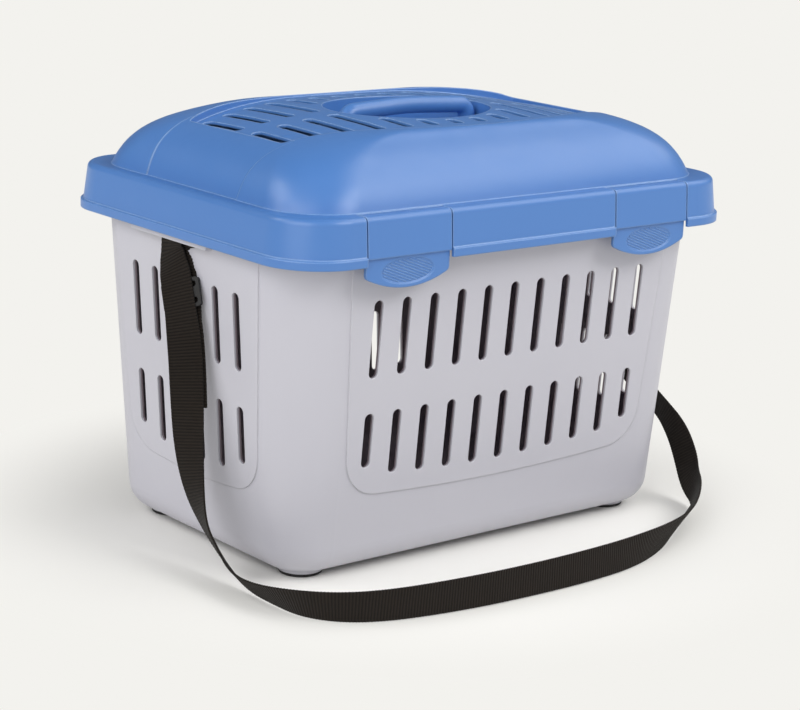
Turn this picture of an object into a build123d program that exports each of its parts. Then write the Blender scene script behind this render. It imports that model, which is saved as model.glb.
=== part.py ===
from build123d import *
import math
import os

os.makedirs("parts", exist_ok=True)

# A carrier for a small animal, in millimetres: +X to its right, -Y to its front, +Z up.
# It stands on z = 0. The helpers work about the tub's own centre, and every piece is
# moved at the end by tub_shift, so that the origin lies under the middle of the box.
# Names in _in, _over, _rise and _drop are distances from the value they are used with.

# Tub
wall = 2.5
tub_half_length = 190.9
tub_half_depth = 119.9
tub_corner = 36.5
draft = 0.075
tub_bottom = 5.0
bottom_round = 22.0
lid_seat_gap = 0.3
panel_rise = 1.0
panel_corner = 32.0
panel_bottom = 60.5
front_panel_in = 43.4
front_panel_half = tub_half_length - front_panel_in
side_panel_in = 36.4
side_panel_half = tub_half_depth - side_panel_in
panel_flare = 0.06
panel_sag = 6.0

# Rim flange of the tub
flange_low = 254.0
flange_thick = 3.0
flange_over_x = 4.05
flange_over_y = 10.55
flange_half_length = tub_half_length + draft * flange_low + flange_over_x
flange_half_depth = tub_half_depth + draft * flange_low + flange_over_y
flange_corner = 50.0

# Air slots in the tub's walls
slot_width = 8.5
slot_pitch = 26.3
front_slots = int(2 * front_panel_half / slot_pitch)
side_slots = int(2 * side_panel_half / slot_pitch)
upper_slot_drop = 39.1
upper_slot_top = flange_low - upper_slot_drop
upper_slot_bottom = 155.9
lower_slot_top = 128.7
lower_slot_bottom = 74.0
front_slot_sag = 0.32
side_slot_sag = 0.9
end_slot_lift = 5.0

# Feet
foot_in = 33.9
foot_x = tub_half_length - foot_in
foot_y = tub_half_depth - foot_in
foot_radius = 17.5
foot_step = 0.7
foot_step_height = 1.2
pad_radius = 16.5
pad_thick = 2.5
pad_recess = 12.0

# Lid: skirt, ledge and dome
skirt_over_x = 6.0
skirt_over_y = 9.2
lid_half_length = flange_half_length + skirt_over_x
lid_half_depth = flange_half_depth + skirt_over_y
lid_corner = 45.0
skirt_drop = 8.3
skirt_low = flange_low - skirt_drop
ledge_rise = 27.0
ledge_top = flange_low + ledge_rise
skirt_wall = 1.8
ledge_thick = 2.5
skirt_lean_x = 4.4
skirt_lean_y = 2.7
bead_height = 7.0
bead_proud = 1.0
ledge_round = 4.5
lid_wall = 2.0
ledge_width_x = 16.0
ledge_width_y = 17.7
dome_base_x = lid_half_length - ledge_width_x
dome_base_y = lid_half_depth - ledge_width_y
dome_height = 49.8
end_panel_base = 56.0
end_panel_top = 66.0
end_panel_depth = 0.9

# Vent panel on the dome
recess_in_x = 39.0
recess_in_y = 81.0
recess_half_length = dome_base_x - recess_in_x
recess_end_half = dome_base_y - recess_in_y
recess_bulge = 34.0
recess_corner = 6.0
recess_plate = 2.4
crown_rise = 49.2
crown_top = ledge_top + crown_rise
crown_flat = 40.0
crown_radius = 591.0
crown_side_radius = 1250.0
vent_width = 9.0
vent_pitch = 23.5
vents_per_row = 2 * int(recess_half_length / vent_pitch)
vent_spine = 16.0
vent_in = 14.0
vent_end_in = 4.0
vent_reach = recess_end_half + recess_bulge - vent_in
vent_reach_drop = recess_bulge - vent_in + vent_end_in

# Handle well and grip
well_x = 71.0
well_y = 59.5
well_rise = 17.0
well_floor = ledge_top + well_rise
well_draft = 0.03
well_wall = 2.4
well_round = 3.5
well_collar = 5.0
grip_radius = 6.8
grip_foot_in = 15.0
grip_foot_x = well_x - grip_foot_in
grip_corner_in = 5.0
grip_corner_x = well_x - grip_corner_in
grip_corner_drop = 2.7
grip_corner_z = crown_top - grip_corner_drop
grip_arch = 3.3
grip_bend = 10.0
grip_arch_radius = 330.0
seat_gap = 0.3
screw_radius = 2.0
screw_length = 18.0
screw_head_radius = 4.2
screw_head_height = 2.6
screw_clearance = 0.2

# Front latches
latch_end_in = 99.0
latch_x = lid_half_length - latch_end_in
latch_width = 76.6
latch_slit = 1.2
latch_axis_in = 11.7
latch_axis_y = lid_half_depth - latch_axis_in
latch_axis_drop = 4.0
latch_axis_z = ledge_top - latch_axis_drop
latch_thick = 2.4
latch_step_rise = 5.1
latch_step_z = skirt_low + latch_step_rise
tab_face_in = 3.7
tab_face_y = lid_half_depth - tab_face_in
tab_thick = 2.6
tab_side_drop = 9.1
tab_side_low = skirt_low - tab_side_drop
tab_drop = 18.4
tab_low = skirt_low - tab_drop
dish_half_length = 24.5
dish_half_height = 9.8
dish_drop = 6.2
dish_centre_z = skirt_low - dish_drop
dish_depth = 0.9
dish_slope = 1.1
hook_length = 40.0
hook_drop = 1.5
hook_top = flange_low - hook_drop
hook_height = 6.5
hook_low = hook_top - hook_height
hook_gap = 0.7
trunnion_radius = 2.0
trunnion_length = 4.0
running_gap = 0.08
cheek_thick = 5.0
cheek_height = 8.0

# Rear hinges
hinge_end_in = 100.0
hinge_x = lid_half_length - hinge_end_in
hinge_over = 7.3
hinge_y = lid_half_depth + hinge_over
hinge_drop = 5.0
hinge_z = flange_low - hinge_drop
knuckle_radius = 5.0
knuckle_length = 24.0
ear_thick = 6.0
ear_gap = 0.3
ear_extra = 0.5
ear_drop = 15.0
ear_low = hinge_z - ear_drop
hinge_pin_radius = 2.0
pin_head_radius = 3.2
pin_head = 1.5

# Shoulder strap and its lugs on the tub's sides
strap_width = 25.0
strap_thick = 1.4
strap_layer_gap = 0.25
lug_y = 10.0
lug_half = 49.0
lug_leg = 4.0
lug_drop = 5.6
lug_height = 6.8
lug_high = flange_low - lug_drop
lug_low = lug_high - lug_height
lug_over = 2.3
lug_lip_x = flange_half_length + lug_over
lug_lip_thick = 0.9
bar_in = 1.0
bar_x = flange_half_length - bar_in
bar_thick = 1.2
bar_rise = 1.4
bar_low = lug_low + bar_rise
bar_height = 4.6
bar_high = bar_low + bar_height
strap_start_rise = 2.5
strap_start_z = bar_low + strap_start_rise
slider_width = 31.0
slider_height = 22.0
slider_thick = 2.6
slider_at = 48.0
slider_slot = 4.5
slider_rail = 2.6
slider_aside = 2.0
tail_length = 123.0
strap_step = 8.0

upward = (Align.CENTER, Align.CENTER, Align.MIN)
downward = (Align.CENTER, Align.CENTER, Align.MAX)
rear_reach = hinge_y + knuckle_radius + ear_extra
tub_shift = (lid_half_depth - rear_reach) / 2
rim_top = ledge_top - ledge_thick - lid_seat_gap
grip_foot_z = well_floor + seat_gap
grip_lean = (grip_corner_x - grip_foot_x) / (grip_corner_z - grip_foot_z)
screw_x = grip_foot_x + grip_lean * (screw_length - well_wall) / 2
outer_leg_x = bar_x + bar_thick / 2 + strap_layer_gap + strap_thick / 2
inner_leg_x = bar_x - bar_thick / 2 - strap_layer_gap - strap_thick / 2

# The strap's centre line from the left lug to the right one, and at each of its points
# the direction across the webbing: flat beside the tub, on edge along the floor.
strap_route = [
    (-outer_leg_x, 8, strap_start_z),
    (-outer_leg_x, 8, 236),
    (-217.5, 2.0, 227),
    (-220.3, -7.3, 216),
    (-222.8, -18.3, 192),
    (-224.3, -27.3, 166),
    (-225, -31.5, 132),
    (-226, -36, 94),
    (-226, -43.6, 62),
    (-225, -58, 37),
    (-224, -76, 22),
    (-227, -104, 10),
    (-228, -136, 10),
    (-222, -169, 12),
    (-202, -195, 13),
    (-172, -209.5, 13.3),
    (-134, -217.5, 13.4),
    (-90, -223, 13.4),
    (-42, -225.5, 13.4),
    (10, -225.5, 13.4),
    (60, -221.5, 13.4),
    (107, -209, 13),
    (147, -188, 12),
    (181, -165, 12),
    (209, -147, 14.3),
    (221, -125, 20),
    (226.3, -113.6, 36),
    (227, -101.3, 55),
    (226, -81, 72.5),
    (224.5, -54, 87.5),
    (222, -29, 108),
    (219.5, -11, 137),
    (218, 0, 172),
    (217.5, 4, 205),
    (216.5, 5, 222),
    (outer_leg_x, 5, 234),
    (outer_leg_x, 5, strap_start_z),
]
strap_across = [
    (0, -1, 0),
    (0, -1, 0),
    (0.1, -1, 0),
    (0.45, -0.89, 0),
    (0.45, -0.89, 0),
    (0.8, -0.6, 0),
    (0.67, -0.74, 0.09),
    (0.4, -0.9, 0.16),
    (0, -0.93, 0.36),
    (-0.46, -0.71, 0.54),
    (-0.58, -0.39, 0.72),
    (-0.72, -0.14, 0.67),
    (-0.69, -0.12, 0.71),
    (-0.41, -0.18, 0.89),
    (-0.19, -0.21, 0.96),
    (-0.06, -0.15, 0.99),
    (-0.02, -0.08, 1),
    (0, -0.03, 1),
    (0, 0, 1),
    (0, 0.05, 1),
    (0, 0, 1),
    (0.1, -0.27, 0.95),
    (0.28, -0.48, 0.82),
    (0.3, -0.45, 0.83),
    (0, -0.2, 0.98),
    (-0.2, -0.53, 0.83),
    (0, -0.84, 0.55),
    (-0.14, -0.73, 0.67),
    (-0.34, -0.52, 0.78),
    (-0.25, -0.54, 0.8),
    (0, -0.75, 0.66),
    (0, -0.9, 0.4),
    (0, -0.97, 0.2),
    (0, -1, 0.03),
    (0, -1, 0),
    (0, -1, 0),
    (0, -1, 0),
]


def section(half_x, half_y, corner, z):
    return Pos(0, 0, z) * RectangleRounded(2 * half_x, 2 * half_y, corner)


def block(low, high):
    size = [b - a for a, b in zip(low, high)]
    centre = [(a + b) / 2 for a, b in zip(low, high)]
    return Pos(*centre) * Box(*size)


def rod_x(radius, x_low, x_high, y, z):
    return Pos((x_low + x_high) / 2, y, z) * (Rot(0, 90, 0) * Cylinder(radius, x_high - x_low))


def upright(outline, y_low, y_high):
    """A face drawn in X and Z, made solid from y_low to y_high."""
    return Pos(0, y_high, 0) * extrude(Plane.XZ * outline, y_high - y_low)


def tub_form(grow, z_low, z_high):
    """The tub's drafted outer form, grown outwards by grow, between two heights."""
    ends = []
    for z in (z_low, z_high):
        out = draft * z + grow
        ends.append(section(tub_half_length + out, tub_half_depth + out, tub_corner + out, z))
    return loft(ends, ruled=True)


def panel_outline(half):
    """The raised panel round the slots of one wall, as a face in X and Z."""
    top = half + panel_flare * (rim_top - panel_bottom)
    side = panel_bottom + panel_sag
    shape = make_face(
        [
            ThreePointArc((-half, side), (0, panel_bottom), (half, side)),
            Line((half, side), (top, rim_top)),
            Line((top, rim_top), (-top, rim_top)),
            Line((-top, rim_top), (-half, side)),
        ]
    )
    low = shape.vertices().group_by(Axis.Y)[0]
    return fillet(low, panel_corner)


def wall_slots(count, sag):
    """The two rows of slots of one wall, as faces in X and Z."""
    shapes = []
    middle = (count - 1) / 2
    for i in range(count):
        k = abs(i - middle)
        x = (i - middle) * slot_pitch
        low = lower_slot_bottom + sag * k * k
        if k == middle:
            low += end_slot_lift
        for bottom, top in ((upper_slot_bottom, upper_slot_top), (low, lower_slot_top)):
            slot = SlotOverall(top - bottom, slot_width, rotation=90)
            shapes.append(Pos(x, (bottom + top) / 2) * slot)
    return shapes


def strap_lug():
    """The lug on the tub's right wall: a lip, a bar for the webbing and two legs."""
    lug = block(
        (lug_lip_x - lug_lip_thick, lug_y - lug_half, lug_low), (lug_lip_x, lug_y + lug_half, lug_high)
    )
    bar_low_x = bar_x - bar_thick / 2
    lug += block(
        (bar_low_x, lug_y - lug_half, bar_low), (bar_x + bar_thick / 2, lug_y + lug_half, bar_high)
    )
    wall_x = tub_half_length + draft * lug_low - wall / 2
    for end in (-1, 1):
        y = lug_y + end * (lug_half - lug_leg / 2)
        leg = block(
            (wall_x, y - lug_leg / 2, lug_low),
            (lug_lip_x - lug_lip_thick / 2, y + lug_leg / 2, lug_high),
        )
        lug += leg
    return lug


def hinge_ears():
    """Two ears of one rear hinge, which carry its pin, on a shelf under the lid's skirt."""
    reach = knuckle_length / 2 + ear_gap
    wall_y = tub_half_depth + draft * ear_low - wall / 2
    shelf_top = skirt_low - ear_extra
    shelf_y = lid_half_depth + ear_gap + ear_extra
    ears = block(
        (hinge_x - reach - ear_thick, wall_y, ear_low), (hinge_x + reach + ear_thick, shelf_y, shelf_top)
    )
    radius = knuckle_radius + ear_extra
    for side in (-1, 1):
        inner = hinge_x + side * reach
        outer = inner + side * ear_thick
        low, high = min(inner, outer), max(inner, outer)
        ears += rod_x(radius, low, high, hinge_y, hinge_z)
        ears += block((low, shelf_y, ear_low), (high, hinge_y + radius - wall, hinge_z - wall))
    bevel = make_face(
        Polyline(
            (wall_y - 1, ear_low - 1),
            (hinge_y + radius, ear_low - 1),
            (hinge_y + radius, hinge_z - wall),
            (wall_y - 1, ear_low),
            close=True,
        )
    )
    cutter = extrude(Plane.YZ * bevel, hinge_x * 3, both=True)
    under = hinge_z - wall - radius / 2
    ears -= cutter & block((0, shelf_y - wall, 0), (hinge_x * 2, hinge_y * 2, under))
    ears -= rod_x(hinge_pin_radius + running_gap, 0, hinge_x * 2, hinge_y, hinge_z)
    return ears


def make_tub():
    outer = tub_form(0, tub_bottom, rim_top)
    outer = fillet(outer.edges().group_by(Axis.Z)[0], bottom_round)
    grown = tub_form(panel_rise, panel_bottom - wall, rim_top)
    front = upright(panel_outline(front_panel_half), -lid_half_depth, lid_half_depth)
    side = upright(panel_outline(side_panel_half), -lid_half_length, lid_half_length)
    outer += grown & front
    outer += grown & (Rot(0, 0, 90) * side)
    flange = section(flange_half_length, flange_half_depth, flange_corner, flange_low)
    outer += extrude(flange, flange_thick)
    for x in (-foot_x, foot_x):
        for y in (-foot_y, foot_y):
            step = foot_radius - foot_step
            outer += Pos(x, y, pad_thick) * Cylinder(step, bottom_round, align=upward)
            boss = Cylinder(foot_radius, bottom_round / 2, align=upward)
            outer += Pos(x, y, pad_thick + foot_step_height) * boss
    lug = strap_lug()
    outer += [lug, mirror(lug, Plane.YZ)]
    ears = hinge_ears()
    outer += [ears, mirror(ears, Plane.YZ)]
    cabin = tub_form(-wall, tub_bottom + wall, rim_top + wall)
    cabin = fillet(cabin.edges().group_by(Axis.Z)[0], bottom_round - wall)
    tub = outer - cabin
    slots = [upright(s, -lid_half_depth, lid_half_depth) for s in wall_slots(front_slots, front_slot_sag)]
    side_cuts = [
        Rot(0, 0, 90) * upright(s, -tub_half_length * 1.1, tub_half_length * 1.1)
        for s in wall_slots(side_slots, side_slot_sag)
    ]
    return tub - slots - side_cuts


def foot_pad(x, y):
    """A rubber pad under one foot, with a shallow hollow in the middle of its face."""
    pad = Cylinder(pad_radius, pad_thick, align=upward)
    pad = chamfer(pad.edges().group_by(Axis.Z)[0], pad_thick / 4)
    pad -= Cylinder(pad_recess / 2, pad_thick / 3, align=upward)
    return Pos(x, y, 0) * pad


# Level lines of the dome: share of its height, then length and depth as insets from its
# base, then the corner's radius.
dome_levels = [
    (0.0, 0.0, 0.0, 47.0),
    (0.29, 5.8, 6.3, 48.0),
    (0.52, 14.8, 15.0, 47.0),
    (0.68, 26.5, 24.5, 45.0),
    (0.795, 40.5, 33.5, 44.0),
    (0.89, 58.5, 41.0, 46.0),
    (0.96, 84.5, 49.5, 52.0),
    (1.0, 120.0, 62.0, 58.0),
]


def dome_form(inset_x, inset_y, sink, below=0.0):
    """The dome's form, drawn in by the insets and lowered by sink."""
    levels = []
    for share, in_x, in_y, corner in dome_levels:
        z = ledge_top + share * dome_height - sink
        levels.append(section(dome_base_x - in_x - inset_x, dome_base_y - in_y - inset_y, corner, z))
    form = loft(levels)
    if below > 0:
        base = section(dome_base_x - inset_x, dome_base_y - inset_y, dome_levels[0][3], ledge_top - sink)
        form += extrude(base, -below)
    return form


def crown_point(x, drop):
    """A point on the middle line of the vent panel's floor: level, then arcs to its ends."""
    beyond = max(0.0, abs(x) - crown_flat)
    fall = crown_radius - math.sqrt(crown_radius**2 - beyond**2)
    return (x, 0, crown_top - drop - fall)


def above_vent_floor(drop):
    """Everything above the vent panel's crowned floor, lowered by drop."""
    reach, half = lid_half_length, lid_half_depth
    between = (reach + crown_flat) / 2
    path = Wire(
        [
            ThreePointArc(*[crown_point(x, drop) for x in (-reach, -between, -crown_flat)]),
            Line(crown_point(-crown_flat, drop), crown_point(crown_flat, drop)),
            ThreePointArc(*[crown_point(x, drop) for x in (crown_flat, between, reach)]),
        ]
    )
    fall = crown_side_radius - math.sqrt(crown_side_radius**2 - half**2)
    outline = make_face(
        [
            ThreePointArc((-half, -fall), (0, 0), (half, -fall)),
            Line((half, -fall), (half, dome_height)),
            Line((half, dome_height), (-half, dome_height)),
            Line((-half, dome_height), (-half, -fall)),
        ]
    )
    return sweep(Plane(path @ 0, x_dir=(0, 1, 0), z_dir=path % 0) * outline, path)


def vent_recess():
    end, bulge = recess_end_half, recess_end_half + recess_bulge
    outline = make_face(
        [
            ThreePointArc((-recess_half_length, -end), (0, -bulge), (recess_half_length, -end)),
            Line((recess_half_length, -end), (recess_half_length, end)),
            ThreePointArc((recess_half_length, end), (0, bulge), (-recess_half_length, end)),
            Line((-recess_half_length, end), (-recess_half_length, -end)),
        ]
    )
    outline = fillet(outline.vertices(), recess_corner)
    return extrude(Pos(0, 0, ledge_top) * outline, 2 * dome_height) & above_vent_floor(0)


def vents():
    """The slots of the vent panel: two rows, kept clear of the collar round the well."""
    cuts = []
    last = (vents_per_row - 1) / 2 * vent_pitch
    for i in range(vents_per_row):
        x = (i - (vents_per_row - 1) / 2) * vent_pitch
        start = vent_spine / 2
        share = x / (well_x + well_collar)
        if abs(share) < 1:
            start = max(start, (well_y + well_collar) * math.sqrt(1 - share * share))
        end = vent_reach - vent_reach_drop * (x / last) ** 2
        length = max(end - start, vent_width * 1.2)
        slot = SlotOverall(length, vent_width, rotation=90)
        for row in (-1, 1):
            cut = Pos(x, row * (end - length / 2), well_floor) * extrude(slot, dome_height)
            cuts.append(cut)
    return cuts


def well_form(grow, low):
    """The handle well's oval form, grown by grow and reaching down to low."""
    top = ledge_top + dome_height + grip_radius
    shrink = well_draft * (top - low)
    upper = Pos(0, 0, top) * Ellipse(well_x + grow, well_y + grow)
    lower = Pos(0, 0, low) * Ellipse(well_x + grow - shrink, well_y + grow - shrink)
    form = loft([lower, upper])
    return fillet(form.edges().group_by(Axis.Z)[0], well_round + grow / 2)


def skirt_form(inset, z_low, z_high):
    """The skirt's form without its bead: it widens downwards."""
    ends = []
    tall = ledge_top - skirt_low
    for z in (z_low, z_high):
        lean = (z - skirt_low) / tall
        half_x = lid_half_length - bead_proud - skirt_lean_x * lean - inset
        half_y = lid_half_depth - bead_proud - skirt_lean_y * lean - inset
        ends.append(section(half_x, half_y, lid_corner - 2 * lean - inset, z))
    return loft(ends, ruled=True)


def skirt_outer():
    form = skirt_form(0, skirt_low, ledge_top)
    return fillet(form.edges().group_by(Axis.Z)[-1], ledge_round)


def latch_cheeks():
    """The two bosses beside the right notch that carry the latch's trunnions."""
    half = latch_width / 2 + latch_slit
    cheeks = []
    for side in (-1, 1):
        inner = latch_x + side * half
        outer = inner + side * cheek_thick
        cheeks.append(
            block(
                (min(inner, outer), -latch_axis_y - cheek_height / 2, latch_axis_z - cheek_height / 2),
                (max(inner, outer), -latch_axis_y + cheek_height / 2, ledge_top - ledge_thick / 2),
            )
        )
    return cheeks


def lid_knuckle():
    """The barrel of the right hinge on the lid's rear skirt."""
    half = knuckle_length / 2
    barrel = rod_x(knuckle_radius, hinge_x - half, hinge_x + half, hinge_y, hinge_z)
    web = block(
        (hinge_x - half, lid_half_depth - bead_proud - skirt_wall / 2, skirt_low),
        (hinge_x + half, hinge_y, hinge_z + knuckle_radius),
    )
    return barrel + web


def make_lid():
    dome = dome_form(0, 0, 0)
    ends = make_face(
        Polyline(
            (recess_half_length * 0.96, -end_panel_top),
            (lid_half_length, -end_panel_base),
            (lid_half_length, end_panel_base),
            (recess_half_length * 0.96, end_panel_top),
            close=True,
        )
    )
    wedge = extrude(Pos(0, 0, ledge_top) * ends, 2 * dome_height)
    wedges = [wedge, mirror(wedge, Plane.YZ)]
    sunk = dome_form(end_panel_depth, 0, 0)
    dome = (dome - wedges) + [sunk & w for w in wedges]
    bead = extrude(section(lid_half_length, lid_half_depth, lid_corner, skirt_low), bead_height)
    bead = chamfer(bead.edges().group_by(Axis.Z)[-1], bead_proud * 0.9)
    lid = skirt_outer() + bead + dome
    lid -= vent_recess()
    hollow = skirt_form(skirt_wall, skirt_low - 1, ledge_top - ledge_thick)
    inner = dome_form(lid_wall, lid_wall, ledge_thick, below=wall)
    hollow += inner - above_vent_floor(recess_plate)
    lid -= hollow
    lid += well_form(well_wall, well_floor - well_wall) - above_vent_floor(recess_plate / 2)
    lid -= well_form(0, well_floor)
    lid -= vents()
    half = latch_width / 2 + latch_slit
    notch_y = latch_axis_y - (ledge_top - latch_axis_z) - seat_gap
    notch = block(
        (latch_x - half, -lid_half_depth - 1, skirt_low - 1), (latch_x + half, -notch_y, ledge_top + 1)
    )
    lid -= [notch, mirror(notch, Plane.YZ)]
    for cheek in latch_cheeks():
        lid += [cheek, mirror(cheek, Plane.YZ)]
    knuckle = lid_knuckle()
    lid += [knuckle, mirror(knuckle, Plane.YZ)]
    reach = half + trunnion_length - latch_slit + running_gap * 2
    for x in (-latch_x, latch_x):
        lid -= rod_x(trunnion_radius + running_gap, x - reach, x + reach, -latch_axis_y, latch_axis_z)
    for x in (-hinge_x, hinge_x):
        bore = hinge_pin_radius + running_gap / 2
        lid -= rod_x(bore, x - knuckle_length, x + knuckle_length, hinge_y, hinge_z)
    for x in (-screw_x, screw_x):
        lid -= Pos(x, 0, well_floor) * Cylinder(screw_radius + screw_clearance, 4 * well_wall)
    return lid


def make_handle():
    """The arched grip: a round bar whose ends turn down on to the well's floor."""
    below = grip_foot_z - grip_radius
    start_x = grip_foot_x - grip_lean * grip_radius
    path = FilletPolyline(
        (-start_x, 0, below),
        (-grip_corner_x, 0, grip_corner_z),
        (0, 0, grip_corner_z + grip_arch),
        (grip_corner_x, 0, grip_corner_z),
        (start_x, 0, below),
        radius=[grip_bend, grip_arch_radius, grip_bend],
    )
    grip = sweep(Plane(path @ 0, z_dir=path % 0) * Circle(grip_radius), path)
    grip -= block((-well_x, -well_y, below - grip_radius), (well_x, well_y, grip_foot_z))
    for x in (-screw_x, screw_x):
        hole = Cylinder(screw_radius + seat_gap / 4, screw_length, align=upward)
        grip -= Pos(x, 0, well_floor) * hole
    return grip


def handle_screw(x):
    """A pan-head screw from inside the lid, up through the well's floor into the grip."""
    under = well_floor - well_wall
    head = Cylinder(screw_head_radius, screw_head_height, align=downward)
    head = chamfer(head.edges().group_by(Axis.Z)[0], screw_head_height / 3)
    shank = Cylinder(screw_radius, screw_length, align=upward)
    return Pos(x, 0, under) * (head + shank)


def make_latch(side):
    """A latch in its notch: face flush with the skirt, dished thumb tab, hook and trunnions."""
    x = side * latch_x
    half = latch_width / 2
    low, high = x - half, x + half
    skin = skirt_outer() - Pos(0, latch_thick, -ledge_thick) * skirt_form(0, skirt_low - 9, ledge_top)
    latch = skin & block((low, -lid_half_depth, latch_step_z), (high, -latch_axis_y, ledge_top))
    latch += rod_x(ledge_top - latch_axis_z, low, high, -latch_axis_y, latch_axis_z)
    tab_back = tab_face_y - tab_thick
    latch += block((low, -tab_face_y - 1.5, latch_step_z), (high, -tab_back, latch_step_z + latch_thick))
    tab = make_face(
        [
            ThreePointArc((low, tab_side_low), (x, tab_low), (high, tab_side_low)),
            Line((high, tab_side_low), (high, latch_step_z + 1)),
            Line((high, latch_step_z + 1), (low, latch_step_z + 1)),
            Line((low, latch_step_z + 1), (low, tab_side_low)),
        ]
    )
    tab = fillet(tab.vertices().group_by(Axis.Y)[0], 4)
    latch += upright(tab, -tab_face_y, -tab_back)
    dish = []
    for out in (-1, 1):
        oval = Ellipse(dish_half_length + out * dish_slope, dish_half_height + out * dish_slope)
        dish.append(Plane.XZ.offset(tab_face_y + out * dish_depth) * (Pos(x, dish_centre_z) * oval))
    latch -= loft(dish)
    tip = flange_half_depth + hook_gap
    hook = make_face(
        Polyline(
            (-tab_back - 1, hook_top),
            (-tip, hook_top),
            (-tip, hook_top - 2),
            (-tab_back - 1, hook_low),
            close=True,
        )
    )
    latch += Pos(x, 0, 0) * extrude(Plane.YZ * hook, hook_length / 2, both=True)
    reach = half + trunnion_length
    latch += rod_x(trunnion_radius, x - reach, x + reach, -latch_axis_y, latch_axis_z)
    return latch


def hinge_pin(side):
    """A steel pin through one hinge, with a flat head on its outer end."""
    half = knuckle_length / 2 + ear_gap + ear_thick
    pin = rod_x(hinge_pin_radius, hinge_x - half, hinge_x + half, hinge_y, hinge_z)
    pin += rod_x(pin_head_radius, hinge_x + half, hinge_x + half + pin_head, hinge_y, hinge_z)
    return pin if side > 0 else mirror(pin, Plane.YZ)


def route_radii(points):
    """The largest arc that fits between the runs at each inner point."""
    radii = []
    for a, b, c in zip(points, points[1:], points[2:]):
        first, second = Vector(*b) - Vector(*a), Vector(*c) - Vector(*b)
        turn = math.radians(first.get_angle(second))
        radii.append(0.45 * min(first.length, second.length) / math.tan(turn / 2))
    return radii


radii = route_radii(strap_route)
strap_line = FilletPolyline(*strap_route, radius=radii)
strap_length = strap_line.length
print("strap radii", [round(r) for r in radii])
print("strap length", round(strap_length))

run_marks = [0.0]
for first, second in zip(strap_route, strap_route[1:]):
    run_marks.append(run_marks[-1] + (Vector(*second) - Vector(*first)).length)


def strap_frame(at):
    """Place, direction, direction across and outward normal of the strap at a length."""
    place = strap_line.position_at(at, position_mode=PositionMode.LENGTH)
    along = strap_line.tangent_at(at, position_mode=PositionMode.LENGTH)
    mark = at / strap_length * run_marks[-1]
    i = max(k for k in range(len(run_marks) - 1) if run_marks[k] <= mark + 1e-6)
    share = (mark - run_marks[i]) / (run_marks[i + 1] - run_marks[i])
    across = Vector(*strap_across[i]) * (1 - share) + Vector(*strap_across[i + 1]) * share
    across = (across - along * across.dot(along)).normalized()
    return place, along, across, along.cross(across)


def band(start, end, behind):
    """Webbing from one length of the strap's line to another, behind(at) inside it."""
    count = max(3, math.ceil(abs(end - start) / strap_step) + 1)
    faces = []
    for i in range(count):
        at = start + (end - start) * i / (count - 1)
        place, along, across, outward = strap_frame(min(max(at, 0), strap_length))
        spot = place - outward * behind(at)
        lift = spot.Z - strap_width / 2 * abs(across.Z) - strap_thick / 2
        if lift < seat_gap:
            spot += Vector(0, 0, seat_gap - lift)
        faces.append(Plane(spot, x_dir=across, z_dir=along) * Rectangle(strap_width, strap_thick))
    return loft(faces, ruled=True)


def tail_depth(from_lug):
    """How far the doubled webbing lies behind the strap: round the bar, then the slider."""
    at_lug = outer_leg_x - inner_leg_x
    at_slider = strap_thick + slider_thick + 3 * strap_layer_gap
    loose = strap_thick + 3 * strap_layer_gap
    past = slider_height / 2
    if from_lug < slider_at - past:
        share = from_lug / (slider_at - past)
        return at_lug + (at_slider - at_lug) * min(1, share)
    if from_lug < slider_at + past:
        return at_slider
    share = min(1, (from_lug - slider_at - past) / past)
    return at_slider + (loose - at_slider) * share


def strap_tail(side):
    if side < 0:
        return band(0, tail_length, lambda at: tail_depth(at))
    return band(strap_length - tail_length, strap_length, lambda at: tail_depth(strap_length - at))


def strap_loop(side):
    """The webbing's turn over the lug's bar, between the strap and its tail."""
    middle = (outer_leg_x + inner_leg_x) / 2
    radius = (outer_leg_x - inner_leg_x) / 2
    crest = bar_high + strap_layer_gap - (radius - strap_thick / 2)
    outer, inner = radius + strap_thick / 2, radius - strap_thick / 2
    ring = Pos(middle, crest) * (Circle(outer) - Circle(inner))
    ring &= Pos(middle, crest + outer) * Rectangle(4 * outer, 2 * outer)
    for x in (outer_leg_x, inner_leg_x):
        ring += Pos(x, (strap_start_z + crest) / 2) * Rectangle(strap_thick, crest - strap_start_z)
    y = strap_route[0 if side < 0 else -1][1]
    loop = upright(ring, y - strap_width / 2, y + strap_width / 2)
    return loop if side > 0 else mirror(loop, Plane.YZ)


def strap_slider(side):
    """A flat three-bar slider between the strap and its tail."""
    at = slider_at if side < 0 else strap_length - slider_at
    place, along, across, outward = strap_frame(at)
    spot = place - outward * (strap_thick / 2 + 1.5 * strap_layer_gap + slider_thick / 2)
    spot += across * slider_aside
    plate = RectangleRounded(slider_width, slider_height, slider_rail)
    opening = RectangleRounded(slider_width - 2 * slider_rail, slider_slot, slider_slot * 0.4)
    away = (slider_height - 2 * slider_rail - slider_slot) / 2
    for row in (-1, 1):
        plate -= Pos(0, row * away) * opening
    frame = Plane(spot, x_dir=across, z_dir=outward)
    slider = extrude(frame * plate, slider_thick / 2, both=True)
    return slider


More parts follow.
